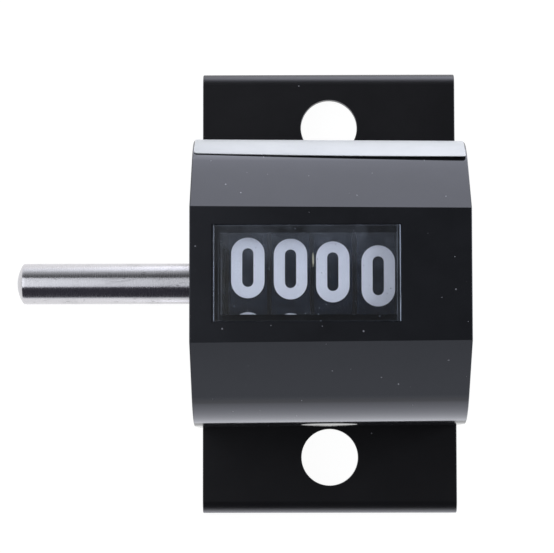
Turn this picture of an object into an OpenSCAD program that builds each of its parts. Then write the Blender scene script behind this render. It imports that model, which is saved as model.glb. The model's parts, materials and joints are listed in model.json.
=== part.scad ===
// Mechanical revolution counter: four number wheels in a moulded casing on a
// bent steel bracket. The drive shaft leaves at the thousands end.
//
// The origin is midway between the two mounting holes, on the front face of the
// bracket's web. X runs along the shaft, from the thousands to the units wheel,
// Y runs up the figures and Z points out of the window. Sizes are millimetres.

/* [Bracket] */
// Length of the bracket over its two bent ends
bracket_len = 34; // [32:0.1:40]
// Distance of the bracket's edge inside the casing's mouth
bracket_in = 0.2; // [0:0.05:1]
// Thickness of the bracket's sheet
sheet_t = 0.8; // [0.6:0.05:1.1]
// Inside radius of the two bends
bend_in_r = 0.2; // [0.1:0.05:0.5]
// Depth of the bracket from its front face to its flange edges
bracket_depth = 3; // [2.6:0.1:5]
// Diameter of the two mounting holes
hole_d = 4.35; // [3.4:0.05:4.5]
// Distance between the two mounting holes
hole_gap = 25.6; // [25:0.1:27]

/* [Fixing pegs] */
// Diameter of the casing's pegs, which pass through the bracket
peg_d = 1.8; // [1.2:0.1:2.2]
// Diameter of the head that each peg is melted down to
peg_head_d = 3; // [2.6:0.1:3.4]
// Thickness of a melted head
peg_head_t = 0.6; // [0.4:0.05:0.8]
// Distance between pegs along the shaft
peg_gap_x = 14; // [12:0.5:15]
// Distance between pegs across the shaft
peg_gap_y = 15; // [13:0.5:16]

/* [Number wheels] */
// Diameter of a number wheel
wheel_d = 17; // [16.6:0.1:17.6]
// Distance from one number wheel to the next
wheel_pitch = 3; // [2.95:0.05:3.3]
// Middle of the units wheel, from the middle of the bracket
units_x = 3.09; // [2.6:0.05:3.4]
// Gap between the rims of neighbouring wheels
rim_gap = 0.3; // [0.26:0.02:0.4]
// Thickness of a wheel's rim
rim_t = 0.7; // [0.5:0.05:0.9]
// Thickness of a wheel's web
web_t = 0.5; // [0.4:0.05:0.6]
// Diameter of a wheel's hub
hub_d = 4.6; // [4:0.1:4.8]
// Gap between the hubs of neighbouring wheels
hub_gap = 0.1; // [0.06:0.02:0.14]

/* [Figures] */
// Width of a figure
figure_w = 2.35; // [1.8:0.05:2.4]
// Height of a figure
figure_h = 4.3; // [3.8:0.05:4.6]
// Width of the stroke that the figures are drawn with
stroke = 0.78; // [0.5:0.02:0.86]
// Thickness of the ink of the figures
ink_t = 0.05; // [0.03:0.01:0.1]
// Angle by which each wheel's figures stand above the middle of the window
figures_above = [-0.35, 1.65, 3.1, 3.7];
// Distance of each wheel's figures from the middle of its rim, towards the closed end
figures_aside = [0.15, -0.04, -0.01, -0.01];

/* [Carry train] */
// Module of the teeth
tooth_module = 0.35; // [0.33:0.005:0.36]
// Pressure angle of the teeth
pressure_angle = 25; // [22:1:28]
// Play between meshing teeth, along the pitch circle
backlash = 0.1; // [0.06:0.01:0.14]
// Height of a wheel's tooth above its pitch circle, in modules
wheel_addendum = 0.75; // [0.6:0.05:0.8]
// Width of a toothed ring, and of a carry disc, on a wheel
ring_w = 0.95; // [0.8:0.05:1]
// Height of the two carry teeth above the locking disc
carry_tooth_h = 0.27; // [0.15:0.01:0.3]
// Angle from the pinion to the middle of the carry teeth, just after a carry
carry_past = 18; // [16:0.5:20]
// Radial width of the journal beyond the tips of a pinion's teeth
journal_rise = 0.2; // [0.15:0.01:0.25]
// Thickness of a carrier plate
carrier_t = 0.2; // [0.15:0.01:0.24]
// Distance of a carrier plate's edge below the wheels' rims
carrier_drop = 0.9; // [0.1:0.05:1.2]
// Diameter of the rod that stops the carrier plates from turning
rod_d = 1.2; // [0.8:0.1:1.4]
// Width of a carrier plate's tab
tab_w = 2.4; // [2:0.1:2.8]
// Distance of the rod from the casing's lower wall
rod_from_side = 2.2; // [2:0.05:2.4]
// Distance of the rod from the casing's rear wall
rod_from_base = 1.55; // [1.4:0.05:1.8]

/* [Shaft] */
// Diameter of the shaft's free end, and of the shaft inside the wheels
shaft_d = 3; // [2.6:0.1:3.2]
// Length of the free end, from the casing's mouth to the tip
shaft_free = 13.1; // [8:0.1:20]
// Height of the tip's dome
dome_h = 0.4; // [0.2:0.05:0.8]
// Diameter of the journal in the end plate
journal_d = 3.6; // [3.4:0.1:4]
// Diameter of the tail in the closed end
tail_d = 2.4; // [2:0.1:2.5]
// Distance of the journal's shoulder inside the mouth
shoulder_in = 0.2; // [0.1:0.05:0.3]
// Depth of the retaining ring's groove
groove_depth = 0.3; // [0.2:0.05:0.4]
// Length of the drive disc's hub beyond its flange
drive_hub_len = 1.5; // [1.3:0.1:1.8]
// Diameter of the drive disc's flange
drive_flange_d = 13; // [10:0.5:15]
// Diameter of the pin through the drive disc and the shaft
drive_pin_d = 0.8; // [0.6:0.05:1]

/* [Bushes and washers] */
// Wall of a bush
bush_wall = 0.7; // [0.5:0.05:0.9]
// Width of the flange round the shaft's bush
bush_flange_w = 0.8; // [0.5:0.05:1]
// Thickness of that flange
bush_flange_t = 0.2; // [0.15:0.05:0.3]
// Radial width of the washers and of the retaining ring
washer_w = 1.3; // [1:0.1:1.5]
// Thickness of the thrust washer
washer_t = 0.2; // [0.15:0.05:0.3]
// Thickness of the retaining ring
clip_t = 0.3; // [0.2:0.05:0.4]
// Width of the retaining ring's mouth
clip_mouth = 2; // [1.6:0.1:2.4]
// Thickness of the spring washer
spring_t = 0.14; // [0.1:0.02:0.2]
// Height of the spring washer
spring_h = 0.44; // [0.3:0.02:0.6]

/* [Casing] */
// Thickness of the front wall
front_wall = 1; // [0.8:0.05:1.4]
// Thickness of the walls round the wheels
side_wall = 1.2; // [0.9:0.05:1.3]
// Thickness of the rear wall, on the bracket
base_wall = 0.6; // [0.5:0.05:1]
// Thickness of the closed end wall
end_wall = 1.2; // [0.8:0.05:1.6]
// Angle of the two slanting faces' normals from the window's
facet_angle = 47; // [44:0.5:50]
// Radius of the two shoulders
shoulder_r = 7.5; // [6:0.1:8]
// Draft of the upper and lower sides, narrower towards the closed end
draft = 0.46; // [0:0.02:0.8]
// Room between the wheels and the front wall
front_room = 0.2; // [0.15:0.05:0.5]
// Room between the wheels and the rear wall
rear_room = 0.2; // [0.15:0.05:0.5]
// Room between the wheels and the slanting walls, at the mouth
facet_room = 0.42; // [0.3:0.02:0.6]
// Room between the wheels and the upper and lower walls, at the mouth
side_room = 0.82; // [0.7:0.02:1.4]
// Thickness of the end plate
plate_t = 1; // [0.8:0.05:1.4]
// Depth of the end plate inside the mouth
plate_in = 0.3; // [0.3:0.05:0.8]
// Width of the ledge that the end plate seats on
plate_ledge = 0.4; // [0.3:0.05:0.6]
// Length of the boss round the tail's bush
boss_len = 0.7; // [0.5:0.05:0.8]
// Wall of that boss
boss_wall = 1; // [0.7:0.05:1.4]
// Depth of the tail bush's pocket in the end wall
pocket_depth = 0.4; // [0.3:0.05:0.5]

/* [Window] */
// Height of the window's opening
window_h = 5.86; // [5:0.02:6.4]
// Room beside the thousands wheel in the opening
window_left_room = 0.59; // [0.1:0.01:0.8]
// Room beside the units wheel in the opening
window_right_room = 0.12; // [0.06:0.02:0.5]
// Width of the ledge under the pane, beside the thousands wheel
pane_ledge_left = 0.43; // [0.2:0.01:0.6]
// Width of the ledge under the pane, beside the units wheel
pane_ledge_right = 0.28; // [0.2:0.01:0.6]
// Width of the ledge under the pane, above and below the figures
pane_ledge_y = 0.5; // [0.3:0.01:0.6]
// Thickness of the pane
pane_t = 0.5; // [0.3:0.05:0.6]

/* [Label] */
// Thickness of the label
label_t = 0.08; // [0.05:0.01:0.15]
// Distance of the label's ends from the casing's ends
label_end = 0.12; // [0.1:0.02:1]
// Angle of the label's front edge round the shoulder
label_angle = 54.6; // [50:0.2:60]
// Height of the label's rear edge above the bracket
label_rear = 2.2; // [1:0.1:4]
// Radius of the label's corners
label_corner_r = 1.2; // [0.5:0.1:2]

/* [Clearances] */
// Radial clearance of what turns, and of the parts it turns in
run_fit = 0.05; // [0.03:0.01:0.08]
// Clearance between pieces that are pushed or laid together
seat_fit = 0.03; // [0.02:0.01:0.05]
// Gap between flat faces that run past each other
face_gap = 0.05; // [0.03:0.01:0.08]

/* [Hidden] */
$fn = 64;

// The order of the wheels from the drive disc to the mouth
UNITS = 0;
TENS = 1;
HUNDREDS = 2;
THOUSANDS = 3;
DIGITS = 10;
PINION_TEETH = 8;
WHEEL_TEETH = 2 * DIGITS;
// How far a cutting solid reaches past what it cuts
CUT = 1;

// The wheels along the shaft
wheel_r = wheel_d / 2;
rim_w = wheel_pitch - rim_gap;
hub_len = wheel_pitch - hub_gap;
bore_r = shaft_d / 2 + run_fit;
function wheel_x(i) = units_x - i * wheel_pitch;
// The plane of the carrier plate between wheel i and the member that drives it
function stage_x(i) = wheel_x(i) + wheel_pitch / 2;

// The casing's section
axis_z = base_wall + rear_room + wheel_r;
front_z = axis_z + wheel_r + front_room + front_wall;
facet_d = wheel_r + facet_room + side_wall;
casing_half = wheel_r + side_room + side_wall;
shoulder_y = casing_half - shoulder_r;
shoulder_z = axis_z + (facet_d - shoulder_r - sin(facet_angle) * shoulder_y) / cos(facet_angle);

// The stack of pieces between the thousands wheel and the mouth
journal_r = journal_d / 2;
washer_in_r = journal_r + run_fit;
spring_x = wheel_x(THOUSANDS) - hub_len / 2 - face_gap - spring_h;
clip_x = spring_x - face_gap - clip_t;
washer_x = clip_x - face_gap - washer_t;
plate_x = washer_x - face_gap - bush_flange_t - plate_t;
mouth_x = plate_x - plate_in;

// The stack of pieces between the units wheel and the closed end
drive_x = wheel_x(-1);
drive_flange_x = drive_x - web_t / 2;
drive_end_x = drive_flange_x + web_t + drive_hub_len;
boss_x = drive_end_x + face_gap;
wall_x = boss_x + boss_len;
end_x = wall_x + end_wall;
pocket_x = wall_x + pocket_depth;
tip_x = mouth_x - shaft_free;
bracket_x0 = mouth_x + bracket_in;

// The teeth: a wheel has twice as many as it has figures
pinion_pitch_r = tooth_module * PINION_TEETH / 2;
wheel_pitch_r = tooth_module * WHEEL_TEETH / 2;
centre_d = pinion_pitch_r + wheel_pitch_r;
pinion_tip_r = pinion_pitch_r + tooth_module;
wheel_tip_r = wheel_pitch_r + wheel_addendum * tooth_module;
root_gap = 0.25 * tooth_module;
pinion_root_r = centre_d - wheel_tip_r - root_gap;
wheel_root_r = centre_d - pinion_tip_r - root_gap;
lock_r = centre_d - pinion_tip_r - run_fit;
pinion_z = axis_z - centre_d;
pinion_len = wheel_pitch - web_t - 4 * face_gap;
journal_t = carrier_t + seat_fit;
pinion_journal_r = pinion_tip_r + journal_rise;

// The rod in the rear corner of the casing
rod_r = rod_d / 2;
rod_y = -casing_half + side_wall + rod_from_side;
rod_z = base_wall + rod_from_base;
rod_depth = pocket_depth;
tab_angle = atan2(rod_z - axis_z, rod_y);
tab_len = norm([rod_y, rod_z - axis_z]);

// The window, tied to the wheels that it shows
window_x0 = wheel_x(THOUSANDS) - rim_w / 2 - window_left_room;
window_x1 = wheel_x(UNITS) + rim_w / 2 + window_right_room;

// Lays a flat shape, drawn in Y and Z, across the shaft from x0 on
module along_x(x0, len) {
    translate([x0, 0, 0])
        rotate([90, 0, 90])
            linear_extrude(len)
                children();
}

// The same, drawn round the shaft's axis
module on_axis(x0, len) {
    translate([0, 0, axis_z])
        along_x(x0, len)
            children();
}

// A flat ring
module ring(outer_r, inner_r) {
    difference() {
        circle(outer_r);
        circle(inner_r);
    }
}

// A rectangle with rounded corners, from its centre
module rounded(w, h, r) {
    square([w - 2 * r, h], center = true);
    square([w, h - 2 * r], center = true);
    for (sx = [-1, 1], sy = [-1, 1])
        translate([sx * (w / 2 - r), sy * (h / 2 - r)])
            circle(r);
}

// Involute teeth
function involute(a) = tan(a) * 180 / PI - a;
function tooth_half(teeth, r) =
    let (pitch_r = tooth_module * teeth / 2,
         base_r = pitch_r * cos(pressure_angle),
         play = backlash / 4 / pitch_r * 180 / PI)
    90 / teeth - play + involute(pressure_angle) - involute(acos(min(1, base_r / r)));

// The corners of one flank of a tooth, from its root to its tip
function flank(teeth, root_r, tip_r, steps = 4) =
    [for (i = [0:steps])
        let (r = root_r + (tip_r - root_r) * i / steps,
             a = tooth_half(teeth, r))
        [r * cos(a), r * sin(a)]];

// One tooth, pointing along X, rooted inside its disc
module tooth(teeth, root_r, tip_r) {
    side = flank(teeth, root_r, tip_r);
    last = len(side) - 1;
    root = [root_r - tooth_module, 0];
    polygon(concat([root], [for (i = [0:last]) [side[i][0], -side[i][1]]],
                   [for (i = [last:-1:0]) side[i]]));
}

// A disc with teeth at the given angles
module toothed(teeth, root_r, tip_r, angles) {
    circle(root_r);
    for (a = angles)
        rotate(a)
            tooth(teeth, root_r, tip_r);
}

// The pinions lie behind the shaft, at minus 90 degrees
pinion_at = -90;
wheel_step = 360 / WHEEL_TEETH;
pinion_step = 360 / PINION_TEETH;
carry_at = pinion_at + carry_past;

// The locking disc with its two carry teeth and the notch that they stand in
module carry_disc() {
    notch_r = lock_r - tooth_module;
    notch_half = 1.5 * wheel_step;
    difference() {
        circle(lock_r);
        rotate(carry_at)
            polygon([[0, 0],
                     [wheel_pitch_r * cos(notch_half), -wheel_pitch_r * sin(notch_half)],
                     [wheel_pitch_r * cos(notch_half), wheel_pitch_r * sin(notch_half)]]);
    }
    toothed(WHEEL_TEETH, notch_r, lock_r + carry_tooth_h,
            [carry_at - wheel_step / 2, carry_at + wheel_step / 2]);
}

// One number wheel: rim, web, hub, toothed ring on the side of the lower figures
// and carry disc on the side of the higher ones
module number_wheel(i) {
    x = wheel_x(i);
    color([0.09, 0.10, 0.13])
        difference() {
            union() {
                on_axis(x - rim_w / 2, rim_w)
                    ring(wheel_r, wheel_r - rim_t);
                on_axis(x - web_t / 2, web_t)
                    circle(wheel_r - rim_t / 2);
                on_axis(x - hub_len / 2, hub_len)
                    circle(hub_d / 2);
                on_axis(x, web_t / 2 + ring_w)
                    toothed(WHEEL_TEETH, wheel_root_r, wheel_tip_r,
                            [for (k = [0:WHEEL_TEETH - 1]) pinion_at + (k + 0.5) * wheel_step]);
                on_axis(x - web_t / 2 - ring_w, web_t / 2 + ring_w)
                    carry_disc();
            }
            on_axis(x - hub_len / 2 - CUT, hub_len + 2 * CUT)
                circle(bore_r);
        }
}

// The figures 0 to 9, drawn with one stroke width inside their box
module figure(n) {
    r = figure_w / 2;
    loop_y = figure_h / 2 - r;
    top = figure_h / 2;
    side = r - stroke;
    // How far strokes reach into each other where they join
    lap = stroke / 20;

    // One round loop, at the upper or the lower end of the figure
    module loop(y) {
        translate([0, y])
            ring(r, side);
    }
    // A bar from one corner to the opposite one
    module bar(x0, y0, x1, y1) {
        translate([x0, y0])
            square([x1 - x0, y1 - y0]);
    }
    // The upper or the lower half of a loop, at that end of the figure
    module half_loop(s) {
        intersection() {
            loop(s * loop_y);
            bar(-figure_w, s > 0 ? loop_y : -figure_h, figure_w, s > 0 ? figure_h : -loop_y);
        }
    }
    module six() {
        loop(-loop_y);
        half_loop(1);
        bar(-r, -loop_y, -side, loop_y);
    }

    if (n == 0) {
        half_loop(1);
        half_loop(-1);
        bar(-r, -loop_y, -side, loop_y);
        bar(side, -loop_y, r, loop_y);
    }
    if (n == 1)
        bar(-stroke / 2, -top, stroke / 2, top);
    if (n == 2) {
        half_loop(1);
        polygon([[side, loop_y + lap], [r, loop_y + lap],
                 [-side, -top + stroke / 2], [-r, -top + stroke / 2]]);
        bar(-r, -top, r, -top + stroke);
    }
    if (n == 3)
        difference() {
            union() {
                loop(loop_y);
                loop(-loop_y);
            }
            bar(-r - stroke, -loop_y, -side / 2, loop_y);
        }
    if (n == 4) {
        bar(side - stroke / 2, -top, r - stroke / 2, top);
        bar(-r, -stroke * 1.5, r, -stroke / 2);
        polygon([[side - stroke / 2, top], [r - stroke / 2, top],
                 [-r + stroke, -stroke], [-r, -stroke]]);
    }
    if (n == 5) {
        difference() {
            loop(-loop_y);
            bar(-r - stroke, -loop_y, 0, r);
        }
        bar(-r, r - loop_y - stroke, lap, r - loop_y);
        bar(-r, r - loop_y - stroke, -side, top);
        bar(-r, top - stroke, r, top);
    }
    if (n == 6)
        six();
    if (n == 7) {
        bar(-r, top - stroke, r, top);
        polygon([[side, top - stroke / 2], [r, top - stroke / 2],
                 [-side / 2, -top], [-side / 2 - stroke, -top]]);
    }
    if (n == 8) {
        loop(loop_y);
        loop(-loop_y);
    }
    if (n == 9)
        rotate(180)
            six();
}

// The ink of one wheel's figures, a thin shell on the rim
module wheel_figures(i) {
    step = 360 / DIGITS;
    // The seam of the round faces is turned to lie between two figures on every wheel
    seam_turn = -(min(figures_above) + max(figures_above)) / 2;
    color([0.75, 0.78, 0.85])
        for (n = [0:DIGITS - 1])
            intersection() {
                on_axis(wheel_x(i) - rim_w / 2, rim_w)
                    rotate(seam_turn)
                        ring(wheel_r + ink_t, wheel_r);
                translate([wheel_x(i) + figures_aside[i], 0, axis_z])
                    rotate([-n * step - figures_above[i], 0, 0])
                        translate([0, 0, wheel_r - rim_t])
                            linear_extrude(2 * rim_t)
                                figure(n);
            }
}

// A transfer pinion: eight teeth on the driven side, four long ones on the driving
// side and between them the journal that turns in its carrier plate
module pinion(i) {
    x = stage_x(i);
    to_shaft = -pinion_at;
    color([0.86, 0.85, 0.80])
        translate([0, 0, pinion_z]) {
            along_x(x - pinion_len / 2, pinion_len / 2)
                toothed(PINION_TEETH, pinion_root_r, pinion_tip_r,
                        [for (k = [0:PINION_TEETH - 1]) to_shaft + k * pinion_step]);
            along_x(x - journal_t / 2, journal_t)
                circle(pinion_journal_r);
            along_x(x, pinion_len / 2)
                toothed(PINION_TEETH, pinion_root_r, pinion_tip_r,
                        [for (k = [0:PINION_TEETH / 2 - 1]) to_shaft + (2 * k + 1) * pinion_step]);
        }
}

// The blackened brass plate that carries a pinion between two wheels, held by its tab
module carrier(i) {
    color([0.16, 0.13, 0.10])
        on_axis(stage_x(i) - carrier_t / 2, carrier_t)
            difference() {
                union() {
                    circle(wheel_r - carrier_drop);
                    rotate(tab_angle)
                        translate([0, -tab_w / 2])
                            square([tab_len, tab_w]);
                    rotate(tab_angle)
                        translate([tab_len, 0])
                            circle(tab_w / 2);
                }
                circle(hub_d / 2 + run_fit);
                translate([0, -centre_d])
                    circle(pinion_journal_r + run_fit);
                rotate(tab_angle)
                    translate([tab_len, 0])
                        circle(rod_r + seat_fit);
            }
}

// The rod through the tabs, held in the end plate and in the closed end
module anchor_rod() {
    color([0.66, 0.67, 0.69])
        translate([0, rod_y, rod_z])
            along_x(plate_x + plate_t - rod_depth + seat_fit,
                    wall_x - plate_x - plate_t + 2 * (rod_depth - seat_fit))
                circle(rod_r);
}

// The blind hole for one end of the rod
module rod_hole(x0, len) {
    translate([0, rod_y, rod_z])
        along_x(x0, len)
            circle(rod_r + seat_fit);
}

// Half of the casing's section, drawn for the side of positive Y and reaching over
// the middle. The insets are measured inwards from the outside.
module half_section(front_in, side_in, base_in) {
    r = shoulder_r - side_in;
    side_y = casing_half - side_in;
    top_z = front_z - front_in;
    corner_y = (facet_d - side_in - cos(facet_angle) * (top_z - axis_z)) / sin(facet_angle);
    translate([shoulder_y, shoulder_z])
        circle(r);
    polygon([[-corner_y / 2, base_in],
             [side_y, base_in],
             [side_y, shoulder_z],
             [shoulder_y, shoulder_z],
             [shoulder_y + r * sin(facet_angle), shoulder_z + r * cos(facet_angle)],
             [corner_y, top_z],
             [-corner_y / 2, top_z]]);
}

// The casing's form between two planes across the shaft, with its draft
module casing_form(front_in, side_in, base_in, x0, x1) {
    length = end_x - mouth_x;
    intersection() {
        translate([x0, -2 * casing_half, base_in - CUT])
            cube([x1 - x0, 4 * casing_half, front_z + 2 * CUT]);
        for (side = [0, 1])
            mirror([0, side, 0])
                translate([mouth_x, 0, 0])
                    rotate([0, 0, -draft])
                        along_x(-CUT, length + 2 * CUT)
                            half_section(front_in, side_in, base_in);
    }
}

// A box between two corners
module box(low, high) {
    translate(low)
        cube(high - low);
}

// The four pegs, or the holes for them
module at_pegs() {
    for (sx = [-1, 1], sy = [-1, 1])
        translate([sx * peg_gap_x / 2, sy * peg_gap_y / 2, 0])
            children();
}

// The moulded casing: open at its mouth, closed at the other end
module casing() {
    ledge_x = plate_x + plate_t;
    boss_r = tail_d / 2 + run_fit + bush_wall + boss_wall;
    color([0.10, 0.10, 0.12]) {
        difference() {
            casing_form(0, 0, 0, mouth_x, end_x);
            difference() {
                casing_form(front_wall, side_wall, base_wall, ledge_x - CUT, wall_x);
                on_axis(boss_x, boss_len + CUT)
                    circle(boss_r);
            }
            casing_form(front_wall - plate_ledge, side_wall - plate_ledge,
                        base_wall - plate_ledge / 2, mouth_x - CUT, ledge_x);
            box([window_x0, -window_h / 2, front_z - front_wall - CUT],
                [window_x1, window_h / 2, front_z + CUT]);
            box([window_x0 - pane_ledge_left, -window_h / 2 - pane_ledge_y, front_z - pane_t],
                [window_x1 + pane_ledge_right, window_h / 2 + pane_ledge_y, front_z + CUT]);
            on_axis(boss_x - CUT, boss_len + pocket_depth + CUT)
                circle(tail_d / 2 + run_fit + bush_wall + seat_fit);
            rod_hole(wall_x - CUT, rod_depth + CUT);
        }
        at_pegs() {
            translate([0, 0, -sheet_t - seat_fit - peg_head_t / 2])
                cylinder(h = sheet_t + seat_fit + peg_head_t / 2 + base_wall / 2, d = peg_d);
            translate([0, 0, -sheet_t - seat_fit - peg_head_t])
                cylinder(h = peg_head_t, d = peg_head_d);
        }
    }
}

// The clear pane in the window's ledge
module window_pane() {
    fit = seat_fit;
    color([0.80, 0.84, 0.88, 0.35])
        box([window_x0 - pane_ledge_left + fit, -window_h / 2 - pane_ledge_y + fit, front_z - pane_t],
            [window_x1 + pane_ledge_right - fit, window_h / 2 + pane_ledge_y - fit, front_z]);
}

// The plate that closes the mouth and carries the shaft's bush
module end_plate() {
    inset = plate_ledge - seat_fit;
    color([0.10, 0.10, 0.12])
        difference() {
            casing_form(front_wall - inset, side_wall - inset,
                        base_wall - plate_ledge / 2 + seat_fit, plate_x, plate_x + plate_t);
            on_axis(plate_x - CUT, plate_t + 2 * CUT)
                circle(journal_r + run_fit + bush_wall + seat_fit);
            rod_hole(plate_x + plate_t - rod_depth, rod_depth + CUT);
        }
}

// The flanged bush in the end plate
module shaft_bush() {
    in_r = journal_r + run_fit;
    color([0.72, 0.53, 0.26]) {
        on_axis(plate_x, plate_t + bush_flange_t)
            ring(in_r + bush_wall, in_r);
        on_axis(plate_x + plate_t, bush_flange_t)
            ring(in_r + bush_wall + bush_flange_w, in_r);
    }
}

// The plain bush in the closed end
module tail_bush() {
    in_r = tail_d / 2 + run_fit;
    color([0.72, 0.53, 0.26])
        on_axis(boss_x + seat_fit, boss_len + pocket_depth - 2 * seat_fit)
            ring(in_r + bush_wall, in_r);
}

// The middle of the drive pin along the shaft
drive_pin_x = drive_end_x - drive_hub_len / 2;
drive_hub_r = hub_d / 2;

// The turned shaft: domed free end, journal with a groove, wheel seat and tail
module drive_shaft() {
    shaft_r = shaft_d / 2;
    dome_r = (shaft_r * shaft_r + dome_h * dome_h) / 2 / dome_h;
    journal_x = mouth_x + shoulder_in;
    journal_end_x = spring_x + spring_h / 2;
    tail_x = drive_end_x;
    color([0.70, 0.71, 0.73])
        difference() {
            union() {
                intersection() {
                    on_axis(tip_x, dome_h)
                        circle(shaft_r);
                    translate([tip_x + dome_r, 0, axis_z])
                        sphere(dome_r);
                }
                on_axis(tip_x + dome_h, tail_x - tip_x - dome_h)
                    circle(shaft_r);
                on_axis(journal_x, journal_end_x - journal_x)
                    circle(journal_r);
                on_axis(tail_x, pocket_x - face_gap - tail_x)
                    circle(tail_d / 2);
            }
            on_axis(clip_x - face_gap / 2, clip_t + face_gap)
                ring(journal_r + CUT, journal_r - groove_depth);
            pin_hole();
        }
}

// The cross hole for the drive pin
module pin_hole() {
    translate([drive_pin_x, 0, axis_z])
        rotate([90, 0, 0])
            cylinder(h = 2 * hub_d, d = drive_pin_d + 2 * seat_fit, center = true);
}

// The pin that locks the drive disc to the shaft
module drive_pin() {
    color([0.66, 0.67, 0.69])
        translate([drive_pin_x, 0, axis_z])
            rotate([90, 0, 0])
                cylinder(h = 2 * drive_hub_r - 2 * seat_fit, d = drive_pin_d, center = true);
}

// The disc on the shaft whose two teeth turn the first pinion once a revolution
module drive_disc() {
    color([0.80, 0.62, 0.28])
        difference() {
            union() {
                on_axis(drive_x - hub_len / 2, drive_end_x - drive_x + hub_len / 2)
                    circle(drive_hub_r);
                on_axis(drive_flange_x, web_t)
                    circle(drive_flange_d / 2);
                on_axis(drive_flange_x - ring_w, ring_w + web_t / 2)
                    carry_disc();
            }
            on_axis(drive_x - hub_len / 2 - CUT, drive_end_x - drive_x + hub_len + CUT)
                circle(shaft_d / 2 + seat_fit);
            pin_hole();
        }
}

// The open ring in the shaft's groove
module retaining_ring() {
    in_r = journal_r - groove_depth + seat_fit;
    color([0.62, 0.63, 0.65])
        on_axis(clip_x, clip_t)
            difference() {
                ring(journal_r + washer_w, in_r);
                translate([0, -clip_mouth / 2])
                    square([2 * journal_d, clip_mouth]);
            }
}

// The flat washer between the bush and the retaining ring
module thrust_washer() {
    color([0.66, 0.67, 0.69])
        on_axis(washer_x, washer_t)
            ring(washer_in_r + washer_w, washer_in_r);
}

// The coned washer that keeps the wheels together
module spring_washer() {
    in_r = washer_in_r;
    out_r = washer_in_r + washer_w / 2;
    color([0.62, 0.63, 0.65])
        translate([spring_x, 0, axis_z])
            rotate([0, 90, 0])
                rotate_extrude()
                    polygon([[in_r, spring_h - spring_t], [out_r, 0],
                             [out_r, spring_t], [in_r, spring_h]]);
}

// The bent steel bracket, a shallow channel with the mounting holes in its web
module bracket() {
    bend_out_r = bend_in_r + sheet_t;
    half = bracket_len / 2;
    color([0.11, 0.11, 0.13])
        difference() {
            along_x(bracket_x0, end_x - bracket_x0) {
                translate([-half + bend_out_r, -sheet_t])
                    square([bracket_len - 2 * bend_out_r, sheet_t]);
                for (side = [0, 1])
                    mirror([side, 0]) {
                        translate([half - sheet_t, -bracket_depth])
                            square([sheet_t, bracket_depth - bend_out_r]);
                        intersection() {
                            translate([half - bend_out_r, -bend_out_r])
                                ring(bend_out_r, bend_in_r);
                            translate([half - bend_out_r, -bend_out_r])
                                square(bend_out_r);
                        }
                    }
            }
            for (side = [-1, 1])
                translate([0, side * hole_gap / 2, -sheet_t - CUT])
                    cylinder(h = sheet_t + 2 * CUT, d = hole_d);
            at_pegs()
                translate([0, 0, -sheet_t - CUT])
                    cylinder(h = sheet_t + 2 * CUT, d = peg_d + 2 * seat_fit);
        }
}

// The bare label over the upper shoulder
module label() {
    x0 = mouth_x + label_end;
    x1 = end_x - label_end;
    z1 = shoulder_z + shoulder_r * cos(label_angle);
    color([0.87, 0.88, 0.89])
        intersection() {
            difference() {
                casing_form(-label_t, -label_t, 0, mouth_x, end_x);
                casing_form(0, 0, 0, mouth_x - CUT, end_x + CUT);
            }
            translate([(x0 + x1) / 2, 2 * casing_half, (label_rear + z1) / 2])
                rotate([90, 0, 0])
                    linear_extrude(2 * casing_half - shoulder_y)
                        rounded(x1 - x0, z1 - label_rear, label_corner_r);
        }
}

bracket();
casing();
window_pane();
end_plate();
shaft_bush();
tail_bush();
drive_shaft();
retaining_ring();
thrust_washer();
spring_washer();
drive_disc();
drive_pin();
anchor_rod();
label();
number_wheel(UNITS);  // units_wheel
wheel_figures(UNITS);  // units_figures
pinion(UNITS);  // units_pinion
carrier(UNITS);  // units_carrier
number_wheel(TENS);  // tens_wheel
wheel_figures(TENS);  // tens_figures
pinion(TENS);  // tens_pinion
carrier(TENS);  // tens_carrier
number_wheel(HUNDREDS);  // hundreds_wheel
wheel_figures(HUNDREDS);  // hundreds_figures
pinion(HUNDREDS);  // hundreds_pinion
carrier(HUNDREDS);  // hundreds_carrier
number_wheel(THOUSANDS);  // thousands_wheel
wheel_figures(THOUSANDS);  // thousands_figures
pinion(THOUSANDS);  // thousands_pinion
carrier(THOUSANDS);  // thousands_carrier
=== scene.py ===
import json
import math

import bmesh
import bpy
from mathutils import Matrix, Vector


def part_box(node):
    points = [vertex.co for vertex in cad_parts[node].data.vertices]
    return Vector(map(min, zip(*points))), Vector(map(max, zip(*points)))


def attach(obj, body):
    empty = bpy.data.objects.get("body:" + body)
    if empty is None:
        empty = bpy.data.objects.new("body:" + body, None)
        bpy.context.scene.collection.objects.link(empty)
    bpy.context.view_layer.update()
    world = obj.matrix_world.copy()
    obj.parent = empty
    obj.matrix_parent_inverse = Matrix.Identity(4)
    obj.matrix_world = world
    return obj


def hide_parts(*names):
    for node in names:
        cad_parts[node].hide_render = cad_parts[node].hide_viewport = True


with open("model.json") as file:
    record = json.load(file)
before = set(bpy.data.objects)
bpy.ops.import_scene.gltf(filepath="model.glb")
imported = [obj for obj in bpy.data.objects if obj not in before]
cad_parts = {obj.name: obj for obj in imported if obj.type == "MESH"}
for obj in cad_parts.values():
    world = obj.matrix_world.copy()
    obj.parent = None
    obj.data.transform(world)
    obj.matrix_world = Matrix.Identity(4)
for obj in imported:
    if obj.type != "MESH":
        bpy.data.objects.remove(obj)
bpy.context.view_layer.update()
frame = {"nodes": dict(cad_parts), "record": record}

MM = 0.001

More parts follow.
